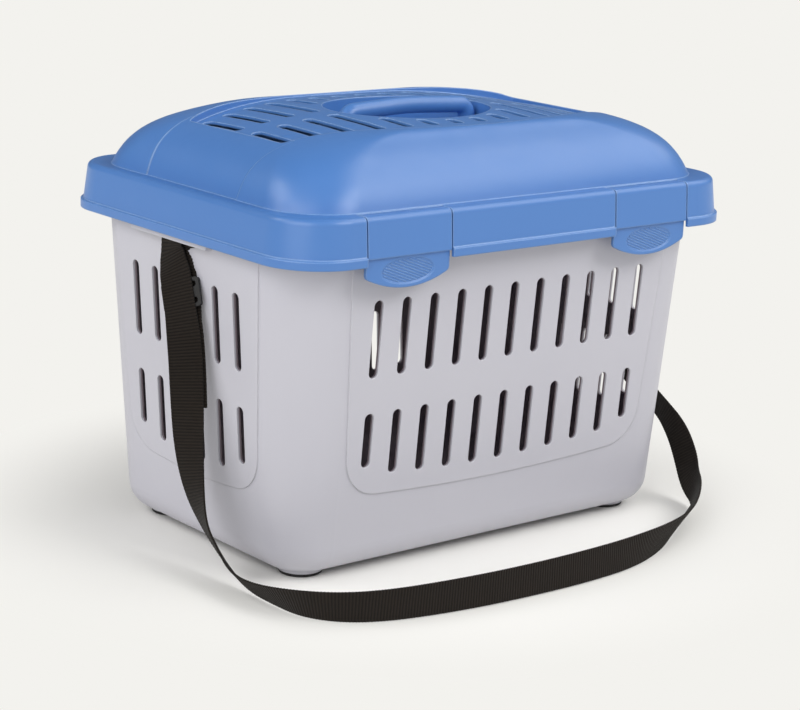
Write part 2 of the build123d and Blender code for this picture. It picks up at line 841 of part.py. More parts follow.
pieces = {
    "tub": make_tub(),
    "lid": make_lid(),
    "carry_handle": make_handle(),
    "handle_screws": [handle_screw(-screw_x), handle_screw(screw_x)],
    "front_latch_left": make_latch(-1),
    "front_latch_right": make_latch(1),
    "hinge_pin_left": hinge_pin(-1),
    "hinge_pin_right": hinge_pin(1),
    "foot_pad_front_left": foot_pad(-foot_x, -foot_y),
    "foot_pad_front_right": foot_pad(foot_x, -foot_y),
    "foot_pad_rear_left": foot_pad(-foot_x, foot_y),
    "foot_pad_rear_right": foot_pad(foot_x, foot_y),
    "shoulder_strap": band(0, strap_length, lambda at: 0),
    "strap_loop_left": strap_loop(-1),
    "strap_loop_right": strap_loop(1),
    "strap_tail_left": strap_tail(-1),
    "strap_tail_right": strap_tail(1),
    "strap_slider_left": strap_slider(-1),
    "strap_slider_right": strap_slider(1),
}

for name, piece in pieces.items():
    solids = piece if isinstance(piece, list) else [piece]
    placed = Compound([s for p in solids for s in (Pos(0, tub_shift, 0) * p).solids()])
    export_step(placed, f"parts/{name}.step")
    print(name, len(placed.solids()), round(placed.volume))
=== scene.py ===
import math

import bmesh
import bpy
from mathutils import Matrix, Vector


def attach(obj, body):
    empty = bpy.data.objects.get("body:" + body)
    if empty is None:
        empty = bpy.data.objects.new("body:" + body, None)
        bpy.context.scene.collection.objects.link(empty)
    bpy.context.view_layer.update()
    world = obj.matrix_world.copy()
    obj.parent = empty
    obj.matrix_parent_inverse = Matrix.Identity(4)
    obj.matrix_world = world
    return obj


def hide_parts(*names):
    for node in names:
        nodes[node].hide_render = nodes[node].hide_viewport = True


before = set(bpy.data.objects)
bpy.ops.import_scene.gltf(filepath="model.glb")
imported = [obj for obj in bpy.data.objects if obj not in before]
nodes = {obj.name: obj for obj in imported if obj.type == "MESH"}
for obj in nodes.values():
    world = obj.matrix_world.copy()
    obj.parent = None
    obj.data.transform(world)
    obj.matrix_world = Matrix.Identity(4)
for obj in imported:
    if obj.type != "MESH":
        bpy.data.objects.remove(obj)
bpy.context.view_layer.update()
print("frame loaded:", len(nodes), "nodes")

mm = 0.001
middleY = -6.4 * mm  # the carrier's own middle lies this far from the origin


def linear(code):  # a hex colour as seen on screen, in the renderer's own values
    parts = [int(code[i : i + 2], 16) / 255 for i in (1, 3, 5)]
    values = [v / 12.92 if v <= 0.04045 else ((v + 0.055) / 1.055) ** 2.4 for v in parts]
    return values + [1.0]


def add(tree, kind, place=(0, 0), **props):
    node = tree.nodes.new(kind)
    node.location = place
    for name, value in props.items():
        setattr(node, name, value)
    return node


def put(node, **values):  # sets sockets by name, with _ for a space
    for name, value in values.items():
        node.inputs[name.replace("_", " ")].default_value = value
    return node


def blend(tree, place, first=None, second=None):  # mixes two colours, given ones as hex
    node = add(tree, "ShaderNodeMix", place, data_type="RGBA")
    for socket, code in (("A", first), ("B", second)):
        if code:
            node.inputs[socket].default_value = linear(code)
    return node


def remap(tree, place, ends=(0, 1), to=(0, 1), **props):  # carries the ends over to the new ones
    node = add(tree, "ShaderNodeMapRange", place, **props)
    return put(node, From_Min=ends[0], From_Max=ends[1], To_Min=to[0], To_Max=to[1])


def newMaterial(name):
    material = bpy.data.materials.new(name)
    material.use_nodes = True
    tree = material.node_tree
    return material, tree, tree.nodes["Principled BSDF"]


def newGroup(name, inputs, outputs):  # inputs with their values, outputs with their kinds
    group = bpy.data.node_groups.new(name, "ShaderNodeTree")
    number = "NodeSocketFloat"
    for label, value in inputs.items():
        socket = group.interface.new_socket(name=label, in_out="INPUT", socket_type=number)
        socket.default_value = value
    for label, kind in outputs.items():
        group.interface.new_socket(name=label, in_out="OUTPUT", socket_type=kind)
    given = add(group, "NodeGroupInput", (-900, 0))
    return group, given, add(group, "NodeGroupOutput", (700, 0))


def useGroup(tree, group, place=(-500, 0), **values):
    node = add(tree, "ShaderNodeGroup", place, node_tree=group)
    return put(node, **values)


def dress(names, material):
    for name in names:
        nodes[name].material_slots[0].material = material


def newPiece(name, bm, material):
    mesh = bpy.data.meshes.new(name)
    bm.to_mesh(mesh)
    bm.free()
    mesh.materials.append(material)
    piece = bpy.data.objects.new(name, mesh)
    bpy.context.collection.objects.link(piece)
    return piece


mouldedLook = {
    "grainScale": 1500, "rippleScale": 9.0, "rubScale": 55.0, "rubEnds": (0.35, 0.7),
    "bumpDepth": 0.0004, "gloss": 0.5,
}


def mouldedGroup():  # fine spark-eroded grain over a broad, slow unevenness
    look = mouldedLook
    group, gin, gout = newGroup(
        "mouldedSkin",
        {"Grain Size": 1.0, "Grain": 0.5, "Ripple": 0.3},
        {"Height": "NodeSocketFloat", "Mottle": "NodeSocketFloat", "Rub": "NodeSocketFloat"},
    )
    coords = add(group, "ShaderNodeTexCoord", (-900, 300))
    size = add(group, "ShaderNodeMath", (-700, 200), operation="DIVIDE")
    size.inputs[0].default_value = look["grainScale"]
    fine = put(add(group, "ShaderNodeTexNoise", (-500, 300)), Detail=3.0, Roughness=0.6)
    slow = put(
        add(group, "ShaderNodeTexNoise", (-500, 0)), Scale=look["rippleScale"], Detail=2.0
    )
    smear = put(
        add(group, "ShaderNodeTexNoise", (-500, -300)),
        Scale=look["rubScale"], Detail=5.0, Roughness=0.65,
    )
    grain = add(group, "ShaderNodeMath", (-200, 300), operation="MULTIPLY")
    ripple = add(group, "ShaderNodeMath", (-200, 0), operation="MULTIPLY")
    total = add(group, "ShaderNodeMath", (100, 200), operation="ADD")
    rub = remap(group, (100, -300), look["rubEnds"])
    link = group.links.new
    link(gin.outputs["Grain Size"], size.inputs[1])
    link(size.outputs[0], fine.inputs["Scale"])
    for texture in (fine, slow, smear):
        link(coords.outputs["Object"], texture.inputs["Vector"])
    link(fine.outputs[0], grain.inputs[0])
    link(gin.outputs["Grain"], grain.inputs[1])
    link(slow.outputs[0], ripple.inputs[0])
    link(gin.outputs["Ripple"], ripple.inputs[1])
    link(grain.outputs[0], total.inputs[0])
    link(ripple.outputs[0], total.inputs[1])
    link(smear.outputs[0], rub.inputs["Value"])
    link(total.outputs[0], gout.inputs["Height"])
    link(slow.outputs[0], gout.inputs["Mottle"])
    link(rub.outputs[0], gout.inputs["Rub"])
    return group


edgeLook = {  # mask of the painted edge highlight: it grows from the first turn to the second, and as the edge faces up
    "samples": 6, "turn": (0.99, 0.8), "facing": (-0.2, 0.7), "weight": (0.5, 1.8), "share": 0.6,
}


def edgeGroup():  # the small rounding of every moulded edge, and a mask of it for the painted edge highlight
    look = edgeLook
    group, gin, gout = newGroup(
        "mouldedEdge", {"Radius": 0.0008},
        {"Normal": "NodeSocketVector", "Edge": "NodeSocketFloat"},
    )
    bevel = add(group, "ShaderNodeBevel", (-500, 0), samples=look["samples"])
    shape = add(group, "ShaderNodeNewGeometry", (-500, -300))
    dot = add(group, "ShaderNodeVectorMath", (-250, -100), operation="DOT_PRODUCT")
    mask = remap(group, (0, -100), look["turn"])
    split = add(group, "ShaderNodeSeparateXYZ", (-250, -350))
    up = remap(group, (0, -350), look["facing"], look["weight"])
    both = add(group, "ShaderNodeMath", (300, -200), operation="MULTIPLY")
    link = group.links.new
    link(gin.outputs["Radius"], bevel.inputs["Radius"])
    link(bevel.outputs[0], dot.inputs[0])
    link(shape.outputs["Normal"], dot.inputs[1])
    link(dot.outputs["Value"], mask.inputs["Value"])
    link(bevel.outputs[0], gout.inputs["Normal"])
    link(bevel.outputs[0], split.inputs[0])
    link(split.outputs["Z"], up.inputs["Value"])
    link(mask.outputs[0], both.inputs[0])
    link(up.outputs[0], both.inputs[1])
    link(both.outputs[0], gout.inputs["Edge"])
    return group


cabinShape = {  # the room inside the tub, as a rounded box that widens upward
    "straightX": 154.4 * mm, "straightY": 83.4 * mm, "corner": 14.5 * mm, "draft": 0.075,
    "round": 22 * mm, "roundTop": 27 * mm, "skin": 0.75 * mm,
}


def cabinGroup():  # 1 on the inner sides of the tub's walls, 0 on the outside: where the painted cabin shade goes
    spec = cabinShape
    group, _, gout = newGroup("paintedCabinShade", {}, {"Inside": "NodeSocketFloat"})
    steps = [
        ("SUBTRACT", (0, middleY, 0)),
        ("ABSOLUTE", None),
        ("SUBTRACT", (spec["straightX"], spec["straightY"], 0)),
        ("MAXIMUM", (0, 0, 0)),
        ("MULTIPLY", (1, 1, 0)),
        ("LENGTH", None),
    ]
    coords = add(group, "ShaderNodeTexCoord", (-900, 0))
    split = add(group, "ShaderNodeSeparateXYZ", (-900, -300))
    link = group.links.new
    link(coords.outputs["Object"], split.inputs[0])
    last = coords.outputs["Object"]
    for i, (operation, other) in enumerate(steps):
        node = add(group, "ShaderNodeVectorMath", (-700 + 180 * i, 0), operation=operation)
        if other:
            node.inputs[1].default_value = other
        link(last, node.inputs[0])
        last = node.outputs["Value" if operation == "LENGTH" else "Vector"]
    corner = add(group, "ShaderNodeMath", (-500, -300), operation="MULTIPLY_ADD")
    corner.inputs[1].default_value = spec["draft"]
    corner.inputs[2].default_value = spec["corner"]
    past = add(group, "ShaderNodeMath", (-200, -300), operation="SUBTRACT")
    out = add(group, "ShaderNodeMath", (0, -300), operation="MAXIMUM")
    out.inputs[1].default_value = 0
    below = add(group, "ShaderNodeMath", (-500, -500), operation="SUBTRACT")
    below.inputs[0].default_value = spec["roundTop"]
    down = add(group, "ShaderNodeMath", (-200, -500), operation="MAXIMUM")
    down.inputs[1].default_value = 0
    pair = add(group, "ShaderNodeCombineXYZ", (200, -300))
    reach = add(group, "ShaderNodeVectorMath", (350, -300), operation="LENGTH")
    inside = add(group, "ShaderNodeMath", (500, -300), operation="LESS_THAN")
    inside.inputs[1].default_value = spec["round"] - spec["skin"]
    link(split.outputs["Z"], corner.inputs[0])
    link(last, past.inputs[0])
    link(corner.outputs[0], past.inputs[1])
    link(past.outputs[0], out.inputs[0])
    link(split.outputs["Z"], below.inputs[1])
    link(below.outputs[0], down.inputs[0])
    link(out.outputs[0], pair.inputs["X"])
    link(down.outputs[0], pair.inputs["Y"])
    link(pair.outputs[0], reach.inputs[0])
    link(reach.outputs["Value"], inside.inputs[0])
    link(inside.outputs[0], gout.inputs["Inside"])
    return group


skinGroup = mouldedGroup()
cabinShadeGroup = cabinGroup()
roundGroup = edgeGroup()


# each 'edge' colour is a painted highlight laid along the rounded edges
plastics = {
    "lidPlastic": {
        "colour": "#4c7dc0", "mottled": "#4778ba", "edge": "#9dc0ec", "edgeRadius": 0.0017,
        "rough": (0.32, 0.42), "grainSize": 1.0, "grain": 0.35, "ripple": 0.5, "bump": 0.035,
        "gloss": 0.68,
    },
    "tubPlastic": {
        "colour": "#c3c2ca", "mottled": "#bebdc6", "edge": "#f0eff4", "edgeRadius": 0.0011,
        "rough": (0.38, 0.5), "grainSize": 1.3, "grain": 0.4, "ripple": 0.6, "bump": 0.035,
        # painted shade: the tub's inner faces are coloured darker and browner, standing in for the
        # shade inside the closed tub
        "inside": "#8c7f86",
    },
    "sliderPlastic": {
        "colour": "#0b0a0a", "mottled": "#100f0f", "edge": "#1f1e1e", "edgeRadius": 0.0006,
        "rough": (0.55, 0.65), "grainSize": 0.8, "grain": 0.5, "ripple": 0.2, "bump": 0.05,
    },
    "footRubber": {
        "colour": "#141315", "mottled": "#1d1c1e", "edge": "#333235", "edgeRadius": 0.0006,
        "rough": (0.62, 0.8), "grainSize": 1.6, "grain": 0.9, "ripple": 0.2, "bump": 0.12,
    },
}


def plastic(name):
    spec = plastics[name]
    material, tree, shader = newMaterial(name)
    shader.inputs["Specular IOR Level"].default_value = spec.get("gloss", mouldedLook["gloss"])
    skin = useGroup(
        tree, skinGroup, (-900, 0),
        Grain_Size=spec["grainSize"], Grain=spec["grain"], Ripple=spec["ripple"],
    )
    edge = useGroup(tree, roundGroup, (-900, -300), Radius=spec["edgeRadius"])
    tone = blend(tree, (-600, 200), spec["colour"], spec["mottled"])
    # painted highlight: the lighter edge colour is mixed in along rounded edges, more where they
    # face up
    edgeHighlight = blend(tree, (-350, 200), second=spec["edge"])
    highlightShare = add(tree, "ShaderNodeMath", (-600, 0), operation="MULTIPLY")
    highlightShare.inputs[1].default_value = edgeLook["share"]
    rough = remap(tree, (-600, -200), to=spec["rough"])
    bump = put(
        add(tree, "ShaderNodeBump", (-350, -300)),
        Strength=spec["bump"], Distance=mouldedLook["bumpDepth"],
    )
    link = tree.links.new
    link(skin.outputs["Mottle"], tone.inputs["Factor"])
    link(tone.outputs["Result"], edgeHighlight.inputs["A"])
    link(edge.outputs["Edge"], highlightShare.inputs[0])
    link(highlightShare.outputs[0], edgeHighlight.inputs["Factor"])
    surface = edgeHighlight.outputs["Result"]
    # painted shade on the tub's inner faces
    if "inside" in spec:
        shade = blend(tree, (-150, 200), second=spec["inside"])
        cabin = useGroup(tree, cabinShadeGroup, (-600, 400))
        link(cabin.outputs["Inside"], shade.inputs["Factor"])
        link(surface, shade.inputs["A"])
        surface = shade.outputs["Result"]
    link(surface, shader.inputs["Base Color"])
    link(skin.outputs["Rub"], rough.inputs["Value"])
    link(rough.outputs[0], shader.inputs["Roughness"])
    link(skin.outputs["Height"], bump.inputs["Height"])
    link(edge.outputs["Normal"], bump.inputs["Normal"])
    link(bump.outputs[0], shader.inputs["Normal"])
    return material


steelLook = {
    "colour": "#b9b9bb", "dull": "#8f8f92", "rough": (0.25, 0.45), "brushing": (40, 900, 900),
    "bump": 0.1, "bumpDepth": 0.0002,
}


def steel():
    look = steelLook
    material, tree, shader = newMaterial("pinSteel")
    shader.inputs["Metallic"].default_value = 1.0
    coords = add(tree, "ShaderNodeTexCoord", (-1100, 0))
    stretch = add(tree, "ShaderNodeMapping", (-900, 0))
    stretch.inputs["Scale"].default_value = look["brushing"]
    brushed = put(add(tree, "ShaderNodeTexNoise", (-700, 0)), Scale=1.0, Detail=4.0)
    tone = blend(tree, (-400, 150), look["colour"], look["dull"])
    rough = remap(tree, (-400, -100), to=look["rough"])
    bump = put(
        add(tree, "ShaderNodeBump", (-400, -300)),
        Strength=look["bump"], Distance=look["bumpDepth"],
    )
    link = tree.links.new
    link(coords.outputs["Object"], stretch.inputs["Vector"])
    link(stretch.outputs[0], brushed.inputs["Vector"])
    link(brushed.outputs[0], tone.inputs["Factor"])
    link(brushed.outputs[0], rough.inputs["Value"])
    link(brushed.outputs[0], bump.inputs["Height"])
    link(tone.outputs["Result"], shader.inputs["Base Color"])
    link(rough.outputs[0], shader.inputs["Roughness"])
    link(bump.outputs[0], shader.inputs["Normal"])
    return material


lidPlastic = plastic("lidPlastic")
tubPlastic = plastic("tubPlastic")
sliderPlastic = plastic("sliderPlastic")
footRubber = plastic("footRubber")
pinSteel = steel()
dress(["lid", "carry_handle", "front_latch_left", "front_latch_right"], lidPlastic)
dress(["tub"], tubPlastic)
dress(["strap_slider_left", "strap_slider_right"], sliderPlastic)
dress([n for n in nodes if n.startswith("foot_pad")], footRubber)
dress(["hinge_pin_left", "hinge_pin_right", "handle_screws"], pinSteel)
print("mouldings dressed")


webbingLook = {
    "colour": "#241e19", "grooveShade": "#060403", "fluff": "#29221c", "dust": (0.5, 0.9),
    "dustMost": 0.35, "rib": 2.35 * mm, "yarn": 0.9 * mm, "yarnShare": 0.35, "fibreScale": 2600.0,
    "fibreShare": 1.2, "patchScale": 60.0, "shades": (-1.2, 1.4), "rough": (0.7, 0.9), "bump": 0.8,
    "bumpDepth": 0.00012, "sheen": 0.06, "sheenRough": 0.5, "gloss": 0.15,
}


def webbingMaterial():  # ribs across the webbing, finer yarns along it, painted shade in their grooves with tone that varies fibre by fibre, and a little dust
    look = webbingLook
    material, tree, shader = newMaterial("strapWebbing")
    shader.inputs["Sheen Weight"].default_value = look["sheen"]
    shader.inputs["Sheen Roughness"].default_value = look["sheenRough"]
    shader.inputs["Specular IOR Level"].default_value = look["gloss"]
    cloth = add(tree, "ShaderNodeUVMap", (-1500, 0), uv_map="clothUV")
    split = add(tree, "ShaderNodeSeparateXYZ", (-1300, 0))
    weft = add(tree, "ShaderNodeMath", (-1100, 150), operation="MULTIPLY")
    weft.inputs[1].default_value = 2 * math.pi / look["rib"]
    weftWave = add(tree, "ShaderNodeMath", (-900, 150), operation="SINE")
    warp = add(tree, "ShaderNodeMath", (-1100, -100), operation="MULTIPLY")
    warp.inputs[1].default_value = 2 * math.pi / look["yarn"]
    warpWave = add(tree, "ShaderNodeMath", (-900, -100), operation="SINE")
    weave = add(tree, "ShaderNodeMath", (-700, 0), operation="MULTIPLY_ADD")
    weave.inputs[1].default_value = look["yarnShare"]
    fibre = put(
        add(tree, "ShaderNodeTexNoise", (-1100, -350)), Scale=look["fibreScale"], Detail=4.0
    )
    patch = put(
        add(tree, "ShaderNodeTexNoise", (-1100, -600)), Scale=look["patchScale"], Detail=3.0
    )
    height = add(tree, "ShaderNodeMath", (-500, 0), operation="MULTIPLY_ADD")
    height.inputs[1].default_value = look["fibreShare"]
    # painted shade: the weave's low points go near black; the fibre noise adds random tone
    # variation
    ramp = remap(tree, (-500, 250), look["shades"])
    tone = blend(tree, (-250, 250), look["grooveShade"], look["colour"])
    dusty = blend(tree, (0, 250), second=look["fluff"])
    dust = remap(tree, (-250, -500), look["dust"], (0, look["dustMost"]))
    bump = put(
        add(tree, "ShaderNodeBump", (-250, -150)),
        Strength=look["bump"], Distance=look["bumpDepth"],
    )
    rough = remap(tree, (-250, -700), to=look["rough"])
    link = tree.links.new
    link(cloth.outputs[0], split.inputs[0])
    link(cloth.outputs[0], fibre.inputs["Vector"])
    link(cloth.outputs[0], patch.inputs["Vector"])
    link(split.outputs["Y"], weft.inputs[0])
    link(weft.outputs[0], weftWave.inputs[0])
    link(split.outputs["X"], warp.inputs[0])
    link(warp.outputs[0], warpWave.inputs[0])
    link(warpWave.outputs[0], weave.inputs[0])
    link(weftWave.outputs[0], weave.inputs[2])
    link(fibre.outputs[0], height.inputs[0])
    link(weave.outputs[0], height.inputs[2])
    link(height.outputs[0], ramp.inputs["Value"])
    link(ramp.outputs[0], tone.inputs["Factor"])
    link(tone.outputs["Result"], dusty.inputs["A"])
    link(patch.outputs[0], dust.inputs["Value"])
    link(dust.outputs[0], dusty.inputs["Factor"])
    link(dusty.outputs["Result"], shader.inputs["Base Color"])
    link(height.outputs[0], bump.inputs["Height"])
    link(bump.outputs[0], shader.inputs["Normal"])
    link(patch.outputs[0], rough.inputs["Value"])
    link(rough.outputs[0], shader.inputs["Roughness"])
    return material


strapWebbing = webbingMaterial()

# The strap's route in millimetres, from the left lug to the right one, and beside each
# point the direction across the webbing.
strapRoute = [
    ((-214.55, 8, 245.5), (0, -1, 0)),
    ((-214.55, 8, 236), (0, -1, 0)),
    ((-217.5, 2, 227), (0.1, -1, 0)),
    ((-220.3, -7.3, 216), (0.45, -0.89, 0)),
    ((-222.8, -18.3, 192), (0.45, -0.89, 0)),
    ((-224.3, -27.3, 166), (0.8, -0.6, 0)),
    ((-225, -31.5, 132), (0.67, -0.74, 0.09)),
    ((-226, -36, 94), (0.4, -0.9, 0.16)),
    ((-226, -43.6, 62), (0, -0.93, 0.36)),
    ((-225, -58, 37), (-0.46, -0.71, 0.54)),
    ((-224, -76, 22), (-0.58, -0.39, 0.72)),
    ((-227, -104, 10), (-0.72, -0.14, 0.67)),
    ((-228, -136, 10), (-0.69, -0.12, 0.71)),
    ((-222, -169, 12), (-0.41, -0.18, 0.89)),
    ((-202, -195, 13), (-0.19, -0.21, 0.96)),
    ((-172, -209.5, 13.3), (-0.06, -0.15, 0.99)),
    ((-134, -217.5, 13.4), (-0.02, -0.08, 1)),
    ((-90, -223, 13.4), (0, -0.03, 1)),
    ((-42, -225.5, 13.4), (0, 0, 1)),
    ((10, -225.5, 13.4), (0, 0.05, 1)),
    ((60, -221.5, 13.4), (0, 0, 1)),
    ((107, -209, 13), (0.1, -0.27, 0.95)),
    ((147, -188, 12), (0.28, -0.48, 0.82)),
    ((181, -165, 12), (0.3, -0.45, 0.83)),
    ((209, -147, 14.3), (0, -0.2, 0.98)),
    ((221, -125, 20), (0.05, -0.68, 0.73)),
    ((226.3, -113.6, 36), (0.1, -0.85, 0.5)),
    ((227, -101.3, 55), (0, -0.77, 0.64)),
    ((226, -81, 72.5), (-0.34, -0.52, 0.78)),
    ((224.5, -54, 87.5), (-0.25, -0.54, 0.8)),
    ((222, -29, 108), (0, -0.75, 0.66)),
    ((219.5, -11, 137), (0, -0.9, 0.4)),
    ((218, 0, 172), (0, -0.97, 0.2)),
    ((217.5, 4, 205), (0, -1, 0.03)),
    ((216.5, 5, 222), (0, -1, 0)),
    ((214.55, 5, 234), (0, -1, 0)),
    ((214.55, 5, 245.5), (0, -1, 0)),
]
strapSize = {
    "width": 25 * mm, "thick": 1.4 * mm, "floor": 0.6 * mm, "ring": webbingLook["rib"] / 4,
    "across": 8, "ribDeep": 0.13 * mm, "tooth": 0.2 * mm, "sharp": 50, "layerGap": 0.25 * mm,
    "barX": 213 * mm, "barTop": 247.6 * mm, "barThick": 1.2 * mm, "turnSteps": 12,
    "sliderAt": 48 * mm, "sliderHeight": 22 * mm, "sliderThick": 2.6 * mm,
    "tail": 132 * mm, "tailSteps": 63, "aside": 2 * mm, "fan": 11 * mm,
    "fanEnds": (8 * mm, 40 * mm),
}


def smoothLine(points):  # the points of a quadratic NURBS that these control points pull
    data = bpy.data.curves.new("guide", "CURVE")
    data.dimensions = "3D"
    data.resolution_u = 24
    spline = data.splines.new("NURBS")
    spline.points.add(len(points) - 1)
    for spot, p in zip(spline.points, points):
        spot.co = (*p, 1)
    spline.order_u = 3
    spline.use_endpoint_u = True
    guide = bpy.data.objects.new("guide", data)
    bpy.context.collection.objects.link(guide)
    bpy.context.view_layer.update()
    mesh = bpy.data.meshes.new_from_object(guide)
    line = [v.co.copy() for v in mesh.vertices]
    bpy.data.objects.remove(guide)
    bpy.data.curves.remove(data)
    bpy.data.meshes.remove(mesh)
    return line


class Ribbon:  # a line with the direction across it, read at any length
    def __init__(self, line, across):
        self.line, self.across = line, across
        self.marks = [0.0]
        for a, b in zip(line, line[1:]):
            self.marks.append(self.marks[-1] + (b - a).length)
        self.length = self.marks[-1]
        self.hint = 0

    def at(self, s):
        s = min(max(s, 0.0), self.length)
        i = self.hint if self.marks[self.hint] <= s else 0
        while i < len(self.marks) - 2 and self.marks[i + 1] < s:
            i += 1
        self.hint = i
        share = (s - self.marks[i]) / max(self.marks[i + 1] - self.marks[i], 1e-9)
        spot = self.line[i].lerp(self.line[i + 1], share)
        side = self.across[i].lerp(self.across[i + 1], share)
        low, high = max(i - 2, 0), min(i + 3, len(self.line) - 1)
        along = (self.line[high] - self.line[low]).normalized()
        side = (side - along * side.dot(along)).normalized()
        return spot, along, side


def makeWebbing(name, ribbon, lift=0.0):  # a ribbed grid laid on the ribbon, then thickened
    size = strapSize
    rings = max(4, int(ribbon.length / size["ring"]))
    bm = bmesh.new()
    bmesh.ops.create_grid(bm, x_segments=rings, y_segments=size["across"], size=0.5)
    uv = bm.loops.layers.uv.new("clothUV")
    frames = [ribbon.at(ribbon.length * i / rings) for i in range(rings + 1)]
    half = size["width"] / 2
    cloth = {}
    for vert in bm.verts:
        i = round((vert.co.x + 0.5) * rings)
        share = vert.co.y * 2
        spot, along, side = frames[i]
        reach = half * share
        rib = math.sin(math.pi * i / 2)  # four rings to a rib
        if abs(share) > 0.99:  # the woven edge swells a little with each rib
            reach += math.copysign(size["tooth"] * rib / 2, share)
        cloth[vert] = (reach, size["ring"] * i)
        vert.co = spot + side * reach + along.cross(side) * size["ribDeep"] * rib
        vert.co.z = max(vert.co.z, lift)
    for face in bm.faces:
        for loop in face.loops:
            loop[uv].uv = cloth[loop.vert]
    bmesh.ops.recalc_face_normals(bm, faces=bm.faces)
    bmesh.ops.solidify(bm, geom=bm.faces[:], thickness=size["thick"])
    bmesh.ops.recalc_face_normals(bm, faces=bm.faces)
    obj = newPiece(name, bm, strapWebbing)
    for poly in obj.data.polygons:
        poly.use_smooth = True
    obj.data.set_sharp_from_angle(angle=math.radians(size["sharp"]))
    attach(obj, "base")
    return obj


def placed(p):  # a point of the route in the frame's metres
    return Vector((p[0] * mm, p[1] * mm + middleY, p[2] * mm))


strapLine = smoothLine([placed(p) for p, _ in strapRoute])
strapSides = smoothLine([Vector(a) for _, a in strapRoute])
strap = Ribbon(strapLine, strapSides)
strapBand = makeWebbing("strapBand", strap, lift=strapSize["floor"])
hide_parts("shoulder_strap")


def tailDepth(t):  # how far the doubled webbing lies inside the strap
    size = strapSize
    atLug = size["barThick"] + 2 * size["layerGap"] + size["thick"]
    atSlider = size["thick"] + size["sliderThick"] + 3 * size["layerGap"]
    loose = size["thick"] + 3 * size["layerGap"]
    past = size["sliderHeight"] / 2
    if t < size["sliderAt"] - past:
        return atLug + (atSlider - atLug) * t / (size["sliderAt"] - past)
    if t < size["sliderAt"] + past:
        return atSlider
    return atSlider + (loose - atSlider) * min(1, (t - size["sliderAt"] - past) / past)


def tailAside(t):  # the doubled end hangs a little to the front of the strap, most at the lug
    size = strapSize
    low, high = size["fanEnds"]
    share = min(1, max(0, (t - low) / (high - low)))
    return size["fan"] + (size["aside"] - size["fan"]) * (1 - math.cos(math.pi * share)) / 2


def makeTail(name, side):  # the turn over the lug's bar and the doubled end behind the strap
    size = strapSize
    end = 0.0 if side < 0 else strap.length
    top, _, across = strap.at(end)
    top = top + across * tailAside(0)
    radius = (size["barThick"] + 2 * size["layerGap"] + size["thick"]) / 2
    crest = size["barTop"] + size["layerGap"] - (radius - size["thick"] / 2)
    line = [top.copy()]
    for k in range(size["turnSteps"] + 1):
        turn = math.pi * k / size["turnSteps"]
        x = side * (size["barX"] + radius * math.cos(turn))
        line.append(Vector((x, top.y, crest + radius * math.sin(turn))))
    sides = [across.copy() for _ in line]
    for k in range(1, size["tailSteps"] + 1):
        t = size["tail"] * k / size["tailSteps"]
        spot, along, direction = strap.at(end - side * t)
        outward = along.cross(direction)
        line.append(spot - outward * tailDepth(t) + direction * tailAside(t))
        sides.append(direction.copy())
    return makeWebbing(name, Ribbon(line, sides))


tailLeft = makeTail("tailLeft", -1)
tailRight = makeTail("tailRight", 1)
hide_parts("strap_tail_left", "strap_loop_left")
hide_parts("strap_tail_right", "strap_loop_right")
print("strap laid, length", round(strap.length, 3))


latchRibs = {
    "centreX": 121 * mm, "centreZ": 239.5 * mm, "faceY": -154.1 * mm,
    "halfLength": 22.8 * mm, "halfHeight": 8.3 * mm, "count": 11, "pitch": 5.6 * mm,
    "slant": 111, "width": 1.0 * mm, "proud": 0.35 * mm, "round": 0.3 * mm,
}


def makeRibs(name, side, body):  # slanting ribs, each as long as the thumb tab's oval allows
    spec = latchRibs
    bm = bmesh.new()
    slant = math.radians(spec["slant"])
    a, b = spec["halfLength"], spec["halfHeight"]
    for i in range(spec["count"]):
        start = (i - (spec["count"] - 1) / 2) * spec["pitch"]
        dx, dz = math.sin(slant), math.cos(slant)
        p = (dx / a) ** 2 + (dz / b) ** 2
        q = 2 * start * dx / a**2
        root = q * q - 4 * p * ((start / a) ** 2 - 1)
        if root <= 0:  # this rib would miss the oval
            continue
        low, high = (-q - math.sqrt(root)) / (2 * p), (-q + math.sqrt(root)) / (2 * p)
        made = bmesh.ops.create_cube(bm, size=1.0)
        bmesh.ops.scale(bm, vec=(spec["width"], 2 * spec["proud"], high - low), verts=made["verts"])
        turn = Matrix.Rotation(slant, 4, "Y")
        bmesh.ops.rotate(bm, matrix=turn, verts=made["verts"])
        middle = (low + high) / 2
        x = side * spec["centreX"] + start + middle * dx
        spot = (x, spec["faceY"] + middleY, spec["centreZ"] + middle * dz)
        bmesh.ops.translate(bm, vec=spot, verts=made["verts"])
    bmesh.ops.bevel(
        bm, geom=bm.edges[:], offset=spec["round"], segments=2, profile=0.5, affect="EDGES",
        material=-1,
    )
    obj = newPiece(name, bm, lidPlastic)
    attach(obj, body)


makeRibs("ribsLeft", -1, "latch_left")
makeRibs("ribsRight", 1, "latch_right")
print("latch ribs made")


stageLook = {
    "floor": "#f3f2ee", "floorRough": 0.9, "floorRadius": 14, "fade": (0.2, 0.38),
    "world": (0.16, 0.5), "worldFrom": (-0.2, -0.95, -0.1), "worldEnds": (-0.7, 0.8),
    "aimAt": (0, 0, 0.15),
}


